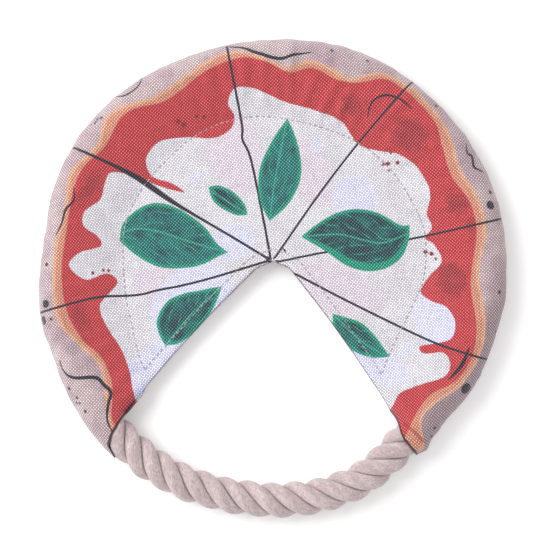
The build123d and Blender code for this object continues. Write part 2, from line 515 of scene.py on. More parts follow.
REACH = math.hypot(RING - WEB, WEB_HALF)
SLOPE = math.asin(TUBE / REACH) - math.asin(WEB_HALF / REACH)  # of the cloth from web to rim
TOUCH = RING - TUBE * math.sin(SLOPE)  # radius where the slope meets the round rim


def section():
    """The panel's section outside the flat middle: radius, height and length along the cloth."""
    touch = np.array([TOUCH, TUBE * math.cos(SLOPE)])
    start = np.array([WEB, WEB_HALF])
    share = np.linspace(0, 1, SLOPE_ROWS, endpoint=False)[:, None]
    normal = np.array([-math.sin(SLOPE), math.cos(SLOPE)])
    straight = start + share * (touch - start) + np.sin(np.pi * share) * SLOPE_BULGE * normal
    turn = np.linspace(-SLOPE, math.pi / 2, TUBE_ROWS)
    tuck = EQUATOR_TUCK * np.clip((np.degrees(turn) - TUCK_START) / (90 - TUCK_START), 0, 1)**2
    rim = np.stack([RING + (TUBE - tuck) * np.sin(turn), (TUBE - tuck) * np.cos(turn)], axis=1)
    line = np.vstack([straight, rim])
    return line[:, 0], line[:, 1], WEB + arc_length(line)


def slice_edge(direction, side):
    """One edge of the slice from the tip past the rim, as a fine run of points."""
    shoulder = APEX + polar(270 - side * (90 - SHOULDER_FALL), SHOULDER_LENGTH)
    along = shoulder @ polar(direction, 1.0)
    length = -along + math.sqrt(along**2 + PANEL_HIGH[0]**2 - shoulder @ shoulder)
    share = np.linspace(0, 1.1, 12)[:, None]
    bow = 4 * share * (1 - share) * EDGE_BOW
    bowed = shoulder + share * length * polar(direction, 1.0) + bow * polar(direction - side * 90, 1.0)
    return through(np.vstack([APEX, (APEX + shoulder) / 2, bowed]))


LEFT_LINE = slice_edge(LEFT_EDGE, 1)
RIGHT_LINE = slice_edge(RIGHT_EDGE, -1)


def edge_angle(line, radius):
    """Angle about the ring's centre where an edge of the slice crosses circles round it."""
    outer = line[np.hypot(*line.T) > 15]
    angle = np.degrees(np.unwrap(np.arctan2(outer[:, 1], outer[:, 0])))
    return np.interp(radius, np.hypot(*outer.T), angle)


def seam_shift(degrees):
    """How far outside its nominal circle the round seam runs in some directions."""
    return periodic(SEAM_WANDER, degrees) - SEAM


RIGHT_CORNER, LEFT_CORNER = -43.0, 219.0  # directions of the seams' two outer corners
MOUTH_LENGTH = 8.0  # over which an edge turns into a mouth

# The mouths' hems: radius in plan, direction at which the cloth ends there.
LEFT_HEM = [
    (92.0, 222.6), (102.4, 223.5), (107.2, 224.2), (111.4, 224.6), (117.7, 226.1), (119.4, 229.1)]
RIGHT_HEM = [(96.7, -48.8), (100.1, -49.2), (105.5, -50.5), (109.4, -51.0), (120.3, -50.9)]

# The rim's outer edge bulges at the right mouth: direction, half width in degrees, millimetres.
BULGE_ANGLE, BULGE_WIDTH, BULGE = -48.3, 1.8, 2.0


def hem_angle(line, hem, radius):
    """Direction at which the cloth ends: along the slice's edge, then round the rope's mouth."""
    hem_radius, hem_direction = np.array(hem).T
    edge = np.mod(edge_angle(line, radius) + 90, 360) - 90
    mouth = np.interp(radius, hem_radius, hem_direction)
    onset = smooth((radius - hem_radius[0]) / MOUTH_LENGTH + 1)
    return edge + onset * (mouth - edge)


def panel_plan():
    """Angle, radius, section height and length along the cloth for the panel's outer rows."""
    radius, height, run = section()
    slope = np.clip((TOUCH - radius) / (TOUCH - WEB), 0, 1)
    right = hem_angle(RIGHT_LINE, RIGHT_HEM, radius + slope * seam_shift(RIGHT_CORNER))
    left = hem_angle(LEFT_LINE, LEFT_HEM, radius + slope * seam_shift(LEFT_CORNER))
    share = np.linspace(0, 1, COLUMNS + 1)
    angle = right[:, None] + share[None] * (left - right)[:, None]
    shift = seam_shift(angle) * slope[:, None]
    return angle, radius[:, None] + shift, height, run[:, None] + shift


def edge_distance(points):
    """How far points lie from the nearer edge of the slice."""
    flat_points = points.reshape(-1, 2)
    distances = [nearest_on(flat_points, line)[0] for line in (LEFT_LINE, RIGHT_LINE)]
    return np.minimum(*distances).reshape(points.shape[:-1])


def closed_height(plan, radius, height):
    """Section height brought down to the middle plane along the slice, but not over the rope."""
    gap = np.maximum(edge_distance(plan), 0)
    reach = CLOSING_REACH + CLOSING_SPREAD * np.maximum(height - WEB_HALF, 0)
    t = np.clip(gap / reach, 0, 1)
    closing = np.sqrt(1 - (1 - t)**2)
    tube = np.sqrt(np.clip(TUBE**2 - (radius - RING)**2, 0, None)) * (radius > RING - TUBE)
    low, high = closing * height, np.minimum(tube, height)
    soft = OVER_ROPE_BLEND
    mixed = 0.5 * (low + high + np.sqrt((low - high)**2 + soft**2)) - 0.5 * soft
    return np.where(high > 0, np.maximum(mixed, low), low)


def fan(outline):
    """Rows that lead from the slice's tip to an outline, following both of the slice's edges."""
    share = np.linspace(0, 1, INNER_ROWS, endpoint=False)**ROW_CROWDING
    share = np.maximum(share, FIRST_ROW)
    rows = APEX + share[:, None, None] * (outline - APEX)
    across = np.linspace(0, 1, outline.shape[0])
    for line, end, nearness in ((RIGHT_LINE, 0, 1 - across), (LEFT_LINE, -1, across)):
        reach = np.linalg.norm(line - APEX, axis=1)
        place = share * np.linalg.norm(outline[end] - APEX)
        edge = read_line(line, reach, place)
        bend = smooth((nearness - FOLLOW_FROM) / (1 - FOLLOW_FROM))
        rows += bend[None, :, None] * (edge - rows[:, end])[:, None]
    return rows


def gathered(angle, radius, height):
    """The rim's tube drawn in to the rope where it ends at the two mouths."""
    from_end = np.minimum(angle - angle[:, :1], angle[:, -1:] - angle) * np.radians(RING)
    share = GATHER * smooth(1 - from_end / GATHER_LENGTH) * smooth((radius - RING + TUBE + 4) / 4)
    return RING + (radius - RING) * (1 - share), height[:, None] * (1 - share)


def panel_points():
    """Grid of the upper panel about the middle plane, with each point's place on the flat cloth."""
    angle, radius, height, run = panel_plan()
    radius, height = gathered(angle, radius, height)
    outer = polar(angle, radius)
    inner = fan(outer[0])
    plan = np.concatenate([inner, outer])
    full = np.concatenate([np.full(inner.shape[:2], WEB_HALF), height])
    ring = np.hypot(plan[..., 0], plan[..., 1])
    open_rows = INNER_ROWS + SLOPE_ROWS
    lift = closed_height(plan[:open_rows], ring[:open_rows], full[:open_rows])
    lift = np.maximum(lift, EDGE_HEIGHT)
    lift = np.concatenate([lift, full[open_rows:]])
    flat = np.concatenate([inner, polar(angle, run)])
    around = np.degrees(np.arctan2(plan[..., 1], plan[..., 0]))
    grown = ring + periodic(OUT_OF_ROUND, around) * smooth((ring - SEAM) / (RING - SEAM))
    corner = np.exp(-((around - BULGE_ANGLE) / BULGE_WIDTH)**2)
    grown += BULGE * corner * smooth((ring - RING) / (TUBE - 2))
    plan = plan * (grown / np.maximum(ring, TINY))[..., None]
    return np.concatenate([plan, lift[..., None]], axis=-1), flat


def grid_normals(grid):
    """Unit normals of a grid of points, pointing away from the middle plane."""
    down = np.gradient(grid, axis=0)
    across = np.gradient(grid, axis=1)
    return unit(np.cross(down, across))


HEM_FOLD = np.radians([45, 90, 135, 180])
HEM_COLUMNS = (1, 2, 3)  # that the turned-in cloth lies under
THINNEST_HEM = 0.12
HEM_LIFT = 0.04  # keeps both panels' hems apart


def hem_thickness(edge):
    """Thickness of the turned-in cloth: less where the rope leaves no room for the whole of it."""
    around = np.degrees(np.arctan2(edge[:, 1], edge[:, 0]))
    across = np.hypot(edge[:, 0], edge[:, 1]) - RING - periodic(OUT_OF_ROUND, around)
    room = np.hypot(across, edge[:, 2]) - ROPE_CREST
    return np.clip(room, THINNEST_HEM, CANVAS)[:, None]


def with_hems(grid, flat):
    """Turns the cloth in along both of the slice's edges, so that it has a thickness there."""
    normal = grid_normals(grid)
    sides = []
    for end, inwards in ((0, 1), (-1, -1)):
        edge = grid[:, end]
        out = unit(edge - grid[:, end + inwards])
        thickness = hem_thickness(edge)
        turned = [edge + thickness / 2 * (np.sin(a) * out - (1 - np.cos(a)) * normal[:, end])
                  for a in HEM_FOLD]
        under = [end + inwards * k for k in HEM_COLUMNS]
        returned = [grid[:, k] - thickness * normal[:, k] for k in under]
        sides.append(np.stack(turned + returned, axis=1))
    right, left = sides
    grid = np.concatenate([right[:, ::-1], grid, left], axis=1)
    grid[..., 2] = np.maximum(grid[..., 2], HEM_LIFT)
    added = ((0, 0), (right.shape[1], left.shape[1]), (0, 0))
    return grid, np.pad(flat, added, mode="edge")


PUCKERS = [
    (0, 1.0), (30, 0.8), (50, 0.8), (72, 1.3), (95, 1.1), (125, 0.7), (160, 0.6), (200, 0.6), (225, 0.7),
    (270, 0.7), (315, 1.3), (340, 1.1)]
SIM_SCALE = 10.0  # the cloth is simulated at ten times its size
SIM_FRAMES = 24
PUCKER_LIMITS = (-0.25, 1.5)  # inwards and outwards
START_HEIGHT = 0.45  # of the faint folds that the cloth starts with


def cloth_object(grid, flat):
    """The rim's canvas as a coarse cloth, whose relaxed shape is the flat pattern."""
    rows, columns = grid.shape[:2]
    scale = SIM_SCALE * MM
    faces = grid_faces(rows, columns)
    cloth = new_object("rim_cloth", new_mesh("rim_cloth", grid.reshape(-1, 3), faces, scale))
    cloth.shape_key_add(name="sewn")
    relaxed = cloth.shape_key_add(name="relaxed")
    pattern = np.concatenate([flat, np.zeros(flat.shape[:-1] + (1,))], axis=-1) * scale
    relaxed.data.foreach_set("co", pattern.ravel())
    held = np.zeros((rows, columns), bool)
    held[0] = held[-1] = held[:, 0] = held[:, -1] = True
    cloth.vertex_groups.new(name="sewn").add(np.flatnonzero(held).tolist(), 1.0, "REPLACE")
    settings = cloth.modifiers.new("cloth", "CLOTH").settings
    settings.rest_shape_key = relaxed
    settings.vertex_group_mass = "sewn"
    settings.quality = 6
    settings.mass = 0.3
    settings.tension_stiffness = settings.compression_stiffness = 40
    settings.shear_stiffness = 10
    settings.bending_stiffness = 1.5
    settings.air_damping = 2.0
    settings.effector_weights.gravity = 0.0
    cloth.modifiers["cloth"].point_cache.frame_end = SIM_FRAMES
    return cloth


def spread(rows, width):
    """Rows of numbers, each averaged over its neighbours in the row."""
    weights = np.hanning(width + 2)
    return np.apply_along_axis(np.convolve, 1, rows, weights / weights.sum(), "same")


def faint_folds(shape, seed):
    """Seeded folds across the rim, which the cloth needs in order to start buckling."""
    uneven = np.random.default_rng(seed).normal(0, 1.0, shape)
    uneven = spread(spread(uneven, 3) - spread(uneven, 9), 3)
    uneven = spread(uneven.T, 17).T
    uneven *= START_HEIGHT / uneven.std()
    uneven[[0, -1]] = 0
    uneven[:, [0, -1]] = 0
    return uneven[..., None]


def puckers(grid, flat, seed):
    """How far the rim's canvas stands off its smooth shape, where its spare length folds."""
    coarse = np.s_[INNER_ROWS::2, ::2]
    start = grid[coarse].copy()
    normal = grid_normals(start)
    shape = start.shape[:2]
    cloth = cloth_object(start + faint_folds(shape, seed) * normal, flat[coarse])
    scene = bpy.context.scene
    for number in range(1, SIM_FRAMES + 1):
        scene.frame_set(number)
    shaped = cloth.evaluated_get(bpy.context.evaluated_depsgraph_get()).to_mesh()
    settled = np.zeros(shape[0] * shape[1] * 3, np.float32)
    shaped.vertices.foreach_get("co", settled)
    scene.frame_set(1)
    bpy.data.objects.remove(cloth)
    moved = settled.reshape(*shape, 3) / (SIM_SCALE * MM) - start
    return spread((moved * normal).sum(-1), 3)


def finer(coarse, rows, columns):
    """A coarse grid of numbers read smoothly on a finer grid."""
    def stretched(values, count):
        place = np.linspace(0, len(values) - 1, count)
        k = np.clip(place.astype(int), 0, len(values) - 2)
        t = smooth(place - k)[:, None] * 0.5 + (place - k)[:, None] * 0.5
        return values[k] * (1 - t) + values[k + 1] * t
    return stretched(stretched(coarse, rows).T, columns).T


def puckered(grid, flat, seed):
    """The panel's grid with the rim's puckers, which stop short of the seams."""
    rows = grid.shape[0] - INNER_ROWS
    height = finer(puckers(grid, flat, seed), rows, grid.shape[1])
    around = np.degrees(np.arctan2(flat[INNER_ROWS:, :, 1], flat[INNER_ROWS:, :, 0]))
    height = np.clip(height * periodic(PUCKERS, around), *PUCKER_LIMITS)
    down = np.arange(rows)[:, None] / (rows - 1)
    along = np.arange(grid.shape[1])
    from_hem = np.minimum(along, along[::-1])
    height *= smooth(down / 0.15) * smooth(from_hem / 12)
    height *= 1 - 0.5 * smooth((down - 0.7) / 0.3)
    grid[INNER_ROWS:] += height[..., None] * grid_normals(grid)[INNER_ROWS:]
    return grid


MOUTH_START = 90.0  # radius at which the hems grow broad and dark
MOUTH_HEM = 0.65  # how much broader they are there
CREASE = np.array([(67.3, -74.4), (72.5, -78.9), (76.6, -83.4)])  # a fold near the right mouth
CREASE_DEPTH = 0.5
CREASE_WIDTH = 0.9


def make_panel(name, upper, material):
    """One canvas panel; the lower one is the upper one turned over."""
    grid, flat = panel_points()
    grid = puckered(grid, flat, seed=3 if upper else 4)
    grid, flat = with_hems(grid, flat)
    side = 1 if upper else -1
    crease = nearest_on(grid[..., :2].reshape(-1, 2), CREASE)[0]
    if upper:
        dip = CREASE_DEPTH * np.exp(-(crease / CREASE_WIDTH)**2)
        grid[..., 2] -= dip.reshape(grid.shape[:2])
    grid[..., 2] = np.maximum(MID + side * grid[..., 2], FLOOR_GAP)
    rows, columns = grid.shape[:2]
    faces = grid_faces(rows, columns, flip=upper)
    piece = new_piece(name, grid.reshape(-1, 3), faces, material)
    from_hem = np.minimum(np.linalg.norm(flat - flat[:, :1], axis=-1),
                          np.linalg.norm(flat - flat[:, -1:], axis=-1))
    mouth = smooth((np.hypot(flat[..., 0], flat[..., 1]) - MOUTH_START) / MOUTH_LENGTH)
    add_field(piece, "hem", (from_hem - MOUTH_HEM * mouth).ravel())
    add_field(piece, "mouth", mouth.ravel())
    add_field(piece, "crease", crease)
    flat = flat.reshape(-1, 2)
    add_field(piece, "flat", np.column_stack([flat, np.zeros(len(flat))]))
    return piece, flat


# --- Print
# Outlines on the flat cloth as (angle, radius) about the ring's centre.

SAUCE_RIM = [
    (303, 112), (311, 109), (317, 106), (324, 106), (330, 111), (338, 113), (346, 110), (355, 103),
    (3, 103), (13, 107), (21, 107), (29, 104), (37, 108), (43, 113), (53, 115), (60, 114), (66, 106),
    (72, 104), (79, 107), (85, 104), (92, 110), (98, 113), (107, 111), (116, 106), (122, 105), (132, 111),
    (142, 107), (151, 111), (162, 110), (176, 110), (189, 107), (199, 103), (205, 97), (212, 97),
    (217, 101), (222, 108), (230, 110)]
BAKED_RIM = [
    (303, 124), (311, 121), (316, 111), (322, 111), (330, 115), (338, 117), (346, 115), (356, 108),
    (3, 107), (12, 112), (21, 112), (30, 110), (38, 115), (46, 118), (54, 119), (62, 116), (68, 107),
    (74, 109), (80, 111), (86, 107), (93, 113), (101, 118), (108, 115), (116, 111), (124, 110),
    (135, 117), (143, 111), (153, 116), (161, 113), (172, 115), (182, 114), (193, 112), (201, 105),
    (207, 100), (213, 102), (218, 107), (224, 113), (230, 118)]
CHEESE_EDGE = [
    (300, 88), (309, 93), (313, 92), (318, 90), (324, 97), (330, 105), (334, 104), (336, 98), (334, 91),
    (333, 86), (335, 84), (338, 92), (341, 99), (346, 98), (350, 91), (351, 83), (354, 76), (0, 80),
    (5, 87), (11, 84), (14, 80), (17, 85), (22, 85), (28, 91), (37, 92), (44, 89), (50, 83), (57, 80),
    (66, 86), (77, 87), (86, 89), (95, 96), (101, 98), (104, 91), (103, 83), (106, 77), (113, 76),
    (122, 83), (130, 89), (137, 87), (140, 79), (137, 69), (136, 61), (141, 72), (144, 86), (147, 97),
    (151, 97), (156, 96), (161, 102), (165, 101), (167, 92), (170, 89), (173, 101), (177, 106), (181, 96),
    (179, 84), (182, 78), (186, 83), (190, 89), (197, 88), (206, 85), (214, 87), (222, 93), (229, 97)]
CUTS = [
    [(93, 9), (98, 28), (100, 60), (102, 71), (101, 80), (101, 122)],
    [(81, 9), (60, 47), (57, 79), (55, 107), (54, 124)],
    [(66, 8), (23, 32), (15, 72), (14, 124)],
    [(6, 12), (342, 40), (338, 80), (338, 101), (339, 126)],
    [(92, 8), (135, 28), (143, 62), (144, 88), (147, 122)],
    [(102, 8), (181, 29), (186, 46), (187, 58), (188, 69), (187, 92), (189, 123)]]
CUT_WIDTHS = [0.62, 0.56, 0.56, 0.6, 0.65, 0.6]
THICK_CUT = 4  # this one is broader part of the way out
STROKES = [
    [(101, 122), (97, 118), (93, 114), (88, 111), (84, 113), (80, 115)],
    [(131, 123), (129, 119), (126, 119), (124, 121), (123, 125)],
    [(34, 119), (32, 117), (31, 119), (29, 117), (28, 117), (26, 121)],
    [(59, 94), (60, 101), (58, 107), (54, 110), (50, 110)],
    [(202, 119), (204, 119), (207, 115), (210, 104), (213, 102), (216, 101), (218, 105), (221, 110),
     (224, 112)],
    [(156, 111), (159, 109), (162, 112), (166, 113), (169, 115)],
    [(340, 110), (335, 110), (330, 108)],
    [(67, 15.5), (60, 14)]]
STROKE_WIDTHS = [0.75, 0.5, 0.6, 0.5, 0.8, 0.5, 0.9, 0.5]
DOTS = [
    (21, 120, 1.1), (18, 117, 2.2), (46, 121, 0.9), (66, 119, 0.8), (75, 118, 0.9), (330, 118.5, 3.0),
    (334, 125, 1.2), (356, 118, 1.0), (315, 122, 1.0), (317, 119, 0.9), (187, 118, 2.1), (191, 121, 2.4),
    (191, 115.5, 0.8), (209, 120, 1.0), (212, 118, 0.8), (213.5, 118, 0.7), (213, 120, 0.8),
    (216, 117.5, 0.9), (138, 120.3, 0.8), (137, 118.8, 0.8), (139, 119.5, 0.8), (140, 121, 0.6),
    (177, 118.5, 1.1), (346, 123, 0.9)]
SPECKS = [
    (179, 92, 1.0), (178, 86, 0.9), (178, 83, 0.9), (121, 92, 1.1), (120, 89, 1.3), (115, 90, 1.1),
    (113, 88, 1.1), (45, 80, 0.8), (44, 82, 1.1), (42, 86, 1.1), (46, 87, 0.8), (42, 80, 0.7),
    (9, 79, 1.1), (8, 82, 1.1), (6, 84, 0.8)]
# Leaves in X and Y on the flat cloth: one side from stalk to tip, the other side, the midrib,
# how much paler than the darkest the blade is, how fast the bright rim broadens on the left side.
LEAVES = [
    ([(-1, 28), (-6, 39), (-6, 54), (0, 68), (8, 80)],
     [(-1, 28), (8, 36), (14, 47), (15, 58), (12, 71), (8, 80)], [(-1, 28), (2, 50), (8, 80)], 0.16,
     0.0),
    ([(-12, 31), (-14, 37), (-20, 43), (-27, 46), (-32, 45)],
     [(-12, 31), (-18, 31), (-26, 35), (-30, 39), (-32, 45)], [(-12, 31), (-21, 37), (-32, 44)],
     -0.06, 0.0),
    ([(-77, 18), (-75, 27), (-66, 35), (-56, 37), (-45, 33), (-34, 25), (-28, 17), (-22, 12)],
     [(-77, 18), (-69, 11), (-58, 5), (-46, 4), (-35, 6), (-27, 10), (-22, 12)],
     [(-77, 22), (-67, 24), (-55, 22), (-40, 17), (-22, 12)], 0.12, 0.0),
    ([(70, 26), (65, 26), (54, 32), (43, 34), (33, 32), (24, 27), (15, 20)],
     [(70, 26), (69.5, 18), (66, 10), (59, 4.5), (49, 2.5), (38, 5.5), (27, 13), (15, 20)],
     [(70, 22), (57, 17), (48, 18), (36, 21), (26, 21), (15, 20)], -0.04, 0.22),
    ([(-54, -35), (-57, -29), (-58, -22), (-53, -13), (-45, -9), (-35, -7), (-25, -5)],
     [(-54, -35), (-47, -34), (-40, -29), (-32, -20), (-28, -13), (-25, -5)],
     [(-54, -35), (-44, -23), (-34, -13), (-25, -5)], 0.0, 0.0),
    ([(31, -19), (38, -21), (46, -24), (53, -31), (60, -41)],
     [(31, -19), (32, -29), (40, -37), (50, -41), (60, -41)],
     [(31, -19), (40, -28), (50, -36), (60, -41)], 0.1, 0.0)]
LAVENDER_SPOTS = [
    (42, 40, 12, 11, 0), (-20, 17, 12, 9, 20), (-40, -14, 24, 18, 45), (86, -20, 14, 16, 0),
    (-60, -46, 10, 20, -50), (56, -46, 16, 8, -30), (23, 66, 4, 3, 60), (-38, 50, 3, 3, 0),
    (68, -37, 4, 3.5, 0)]
BLUSH_SPOTS = [
    (-18, 62, 14, 22, 10), (33, -6, 24, 12, -20), (-55, -2, 16, 9, 10), (20, 52, 10, 18, 20),
    (14, -22, 10, 8, -40)]

STAINS = [
    (70, 71, 11, 9, -45), (41, 86, 7, 6, 0), (94, 37, 8, 6, -60), (92, -2, 9, 10, 0), (103, 25, 5, 6, 0),
    (-98, -22, 11, 5, -65), (-93, 45, 11, 5, 55)]


def leaf_fields(points):
    """For the nearest leaf: distance inside its outline, and inside its blade, place along and
    across it, and its tone."""
    best = np.full((5, len(points)), -FAR)
    for one_side, other_side, midrib, tone, broadening in LEAVES:
        outline = np.vstack([through(one_side), through(other_side)[-2:0:-1]])
        distance, _, _ = nearest_on(points, np.vstack([outline, outline[:1]]))
        depth = np.where(inside(points, outline), distance, -distance)
        middle = through(midrib)
        length = arc_length(middle)[-1]
        across, side, along = nearest_on(points, middle)
        nearer = depth > best[0]
        across = across * side
        blade = depth - broadening * np.maximum(across, 0)
        tones = np.full(len(points), tone)
        best = np.where(nearer, np.stack([depth, blade, along * length, across, tones]), best)
    return best


def stroke_fields(points, lines, half_widths, thick=None):
    """Signed distance from the nearest stroke in half widths, and distance past its edge."""
    side, near = np.full((2, len(points)), FAR)
    for index, (line, half_width) in enumerate(zip(lines, half_widths)):
        angle, radius = np.array(line, float).T
        curve = through(polar(angle, radius))
        distance, sign, share = nearest_on(points, curve)
        width = np.full(len(points), half_width)
        if index == thick:
            width = width + 0.9 * np.exp(-((share - 0.62) / 0.16)**2)
        elif thick is None:
            width = width * (0.45 + 0.75 * np.sin(np.pi * np.clip(share, 0.02, 0.98)))
        scaled = distance / width
        nearer = scaled < np.abs(side)
        side = np.where(nearer, np.where(sign == 0, 1, sign) * scaled, side)
        near = np.where(nearer, np.maximum(distance - width + 1, 0), near)
    return side, near


def spots(points, dots):
    """Distance inside the nearest of some round dots."""
    best = np.full(len(points), -FAR)
    for angle, radius, size in dots:
        best = np.maximum(best, size - np.linalg.norm(points - polar(angle, radius), axis=1))
    return best


def ellipses(points, shapes):
    """Rough distance inside the nearest of some ellipses."""
    best = np.full(len(points), -FAR)
    for x, y, half_length, half_width, turn in shapes:
        axis = polar(turn, 1.0)
        away = points - (x, y)
        along = away @ axis / half_length
        across = away @ np.array([-axis[1], axis[0]]) / half_width
        depth = (1 - np.hypot(along, across)) * min(half_length, half_width)
        best = np.maximum(best, depth)
    return best


def add_print(piece, flat):
    """Works out the print's fields at each vertex of the upper panel."""
    angle = np.degrees(np.arctan2(flat[:, 1], flat[:, 0]))
    radius = np.hypot(flat[:, 0], flat[:, 1])
    add_field(piece, "sauce", periodic(SAUCE_RIM, angle) - radius)
    add_field(piece, "baked", periodic(BAKED_RIM, angle) - radius)
    edge = through(polar(*np.array(CHEESE_EDGE, float).T))
    distance, _, _ = nearest_on(flat, edge)
    add_field(piece, "cheese", np.where(inside(flat, edge), distance, -distance))
    leaf_names = ("leaf", "leaf_blade", "leaf_along", "leaf_across", "leaf_tone")
    for name, values in zip(leaf_names, leaf_fields(flat)):
        add_field(piece, name, values)
    for name, lines, widths, thick in (("cut", CUTS, CUT_WIDTHS, THICK_CUT),
                                       ("ink", STROKES, STROKE_WIDTHS, None)):
        side, near = stroke_fields(flat, lines, widths, thick)
        add_field(piece, name + "_side", side)
        add_field(piece, name + "_near", near)
    for name, dots in (("dots", DOTS), ("specks", SPECKS)):
        add_field(piece, name, spots(flat, dots))
    for name, shapes in (("lavender", LAVENDER_SPOTS), ("blush", BLUSH_SPOTS), ("stain", STAINS)):
        add_field(piece, name, ellipses(flat, shapes))


# --- Rope

LAY = 36.5  # length in which a strand goes once round
STRANDS = 3
STRAND_COLUMNS = 26
SHOWN_STEP, HIDDEN_STEP = 0.95, 4.0
CREVICE_DEPTH = 0.7  # of the grooves between the strands
STRAND_OFFSET = 0.42  # of the rope's radius
STRAND_SIZE = 0.58
ROPE_JOINT = 211.3  # direction of the butt joint, as in CAD
ROPE_SPAN = 359.7
ROPE_SIDES = 60  # of the polygon that guides its centre line
LEFT_MOUTH = 224.2
RIGHT_MOUTH = 311.4
FIBRE_TURN = 28.0  # of the fibres against the rope
COTTON = (0.66, 0.51, 0.52)
COTTON_PALE = (0.80, 0.66, 0.66)
COTTON_FIBRE = (0.42, 0.31, 0.32)
# dark cotton for mottling and flecks, and the painted shade in the crevices
COTTON_FLECK_AND_SHADE = (0.26, 0.17, 0.18)


def rope_route():
    """The rope's centre line: a curve that touches the sides of a polygon round the ring.

    Its first and last sides are half as long, so that both ends are cut square to the rim."""
    step = ROPE_SPAN / ROPE_SIDES
    corner = ROPE_JOINT + (np.arange(ROPE_SIDES) + 0.5) * step
    angle = np.concatenate([[ROPE_JOINT], corner, [ROPE_JOINT + ROPE_SPAN]])
    radius = RING + periodic(OUT_OF_ROUND, angle)
    radius[1:-1] /= math.cos(math.radians(step / 2))
    points = polar(angle, radius)
    curve = bpy.data.curves.new("rope_route", "CURVE")
    curve.dimensions = "3D"
    spline = curve.splines.new("NURBS")
    spline.points.add(len(points) - 1)
    for control, (x, y) in zip(spline.points, points):
        control.co = (x * MM, y * MM, MID * MM, 1)
    spline.order_u = 3
    spline.use_endpoint_u = True
    spline.resolution_u = 12
    holder = new_object("rope_route", curve)
    mesh = bpy.data.meshes.new_from_object(holder)
    line = np.array([v.co for v in mesh.vertices], float) / MM
    bpy.data.objects.remove(holder)
    bpy.data.meshes.remove(mesh)
    return line


def rope_stations(line):
    """Places along the rope, close together where it shows: point, tangent, length so far."""
    run = arc_length(line)
    places, at = [], 0.0
    while at < run[-1]:
        places.append(at)
        x, y, _ = read_line(line, run, [at])[0]
        angle = math.degrees(math.atan2(y, x)) % 360
        shown = LEFT_MOUTH - 6 < angle < RIGHT_MOUTH + 6
        at += SHOWN_STEP if shown else HIDDEN_STEP
    places = np.array(places + [run[-1]])
    tangent = read_line(line, run, places + 0.5) - read_line(line, run, places - 0.5)
    return read_line(line, run, places), unit(tangent), places


def strands(run):
    """The rope's surface at each station: radius, direction, depth in a crevice, place for fibres."""
    run = run[:, None]
    beta = np.tile(np.linspace(-60, 60, STRAND_COLUMNS, endpoint=False), STRANDS)
    strand = np.repeat(np.arange(STRANDS), STRAND_COLUMNS)
    offset, size = STRAND_OFFSET * ROPE_RADIUS, STRAND_SIZE * ROPE_RADIUS
    angle = np.radians(beta)
    wobble = 0.16 * np.sin(run / 9.0 + strand * 2.1) + 0.1 * np.sin(run / 3.7 + strand)
    radius = offset * np.cos(angle) + np.sqrt(size**2 - (offset * np.sin(angle))**2) + wobble
    crevice = np.exp(-((60 - np.abs(beta)) / 5.0)**2)
    radius = radius - CREVICE_DEPTH * crevice
    turn = np.radians(beta + strand * 120.0 - 360.0 * run / LAY)
    lay = np.stack(np.broadcast_arrays(run, angle * ROPE_RADIUS, strand * 40.0), axis=-1)
    return radius, turn, np.broadcast_to(crevice, radius.shape), lay


def make_rope(line, material):
    point, tangent, run = rope_stations(line)
    radius, turn, crevice, lay = strands(run)
    rows, columns = radius.shape
    ring = tube_round(point, tangent, radius, turn).reshape(-1, 3)
    faces = grid_faces(rows, columns, closed=True, flip=True).tolist()
    first, last = rows * columns, rows * columns + 1
    for k in range(columns):
        after = (k + 1) % columns
        faces.append((first, k, after))
        faces.append((last, (rows - 1) * columns + after, (rows - 1) * columns + k))
    piece = new_piece("twisted_rope", np.vstack([ring, point[:1], point[-1:]]), faces,
                      material)
    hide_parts("rope_ring")
    add_field(piece, "lay", np.vstack([lay.reshape(-1, 3), np.zeros((2, 3))]))
    add_field(piece, "crevice", np.append(crevice.ravel(), [0.0, 0.0]))


def cotton_rope():
    g = Graph("cotton_rope")
    lay = g.field("lay", "Vector")
    fibre = g.noise(g.stretch(lay, (0.25, 1.6, 1.0), FIBRE_TURN), 1.0, 5.0, 0.65)
    lump = g.noise(lay, 0.16, 3.0)
    fine = g.noise(g.stretch(lay, (0.8, 5.0, 1.0), FIBRE_TURN), 1.0, 3.0, 0.6)
    pale = g.blend(g.ramp(lump, 0.35, 0.65), COTTON, COTTON_PALE)
    streaked = g.blend(g.ramp(fibre, 0.42, 0.75, 0.0, 0.6), pale, COTTON_FIBRE)
    mottle = g.noise(g.stretch(lay, (0.9, 1.5, 1.0), FIBRE_TURN), 1.0, 3.0)
    mottled = g.blend(g.ramp(mottle, 0.42, 0.64, 0.0, 0.50), streaked, COTTON_FLECK_AND_SHADE)
    fleck = g.ramp(g.noise(g.stretch(lay, (0.7, 1.0, 1.0)), 0.9, 1.0), 0.66, 0.71, 0.0, 0.65)
    flecked = g.blend(fleck, mottled, COTTON_FLECK_AND_SHADE)
    # painted shade in the crevices between the strands
    colour = g.blend(g.times(g.field("crevice"), 0.75), flecked, COTTON_FLECK_AND_SHADE)
    height = g.plus(g.times(fibre, 0.5), g.times(fine, 0.5))
    return g.finish(colour, 0.9, height, 0.8, sheen=0.5, sheen_roughness=0.6, specular=0.15)


# --- Seams

STITCH_PITCH = 3.0
STITCH_LENGTH = 2.3
THREAD = 0.26  # radius of the sewing thread
SUNK, ARCH, DIP = 0.12, 0.16, 0.5  # how a stitch lies in and over the canvas
STITCH_STEPS, THREAD_SIDES = 9, 8
THREAD_DARK, THREAD_PALE = (0.33, 0.27, 0.29), (0.44, 0.38, 0.39)


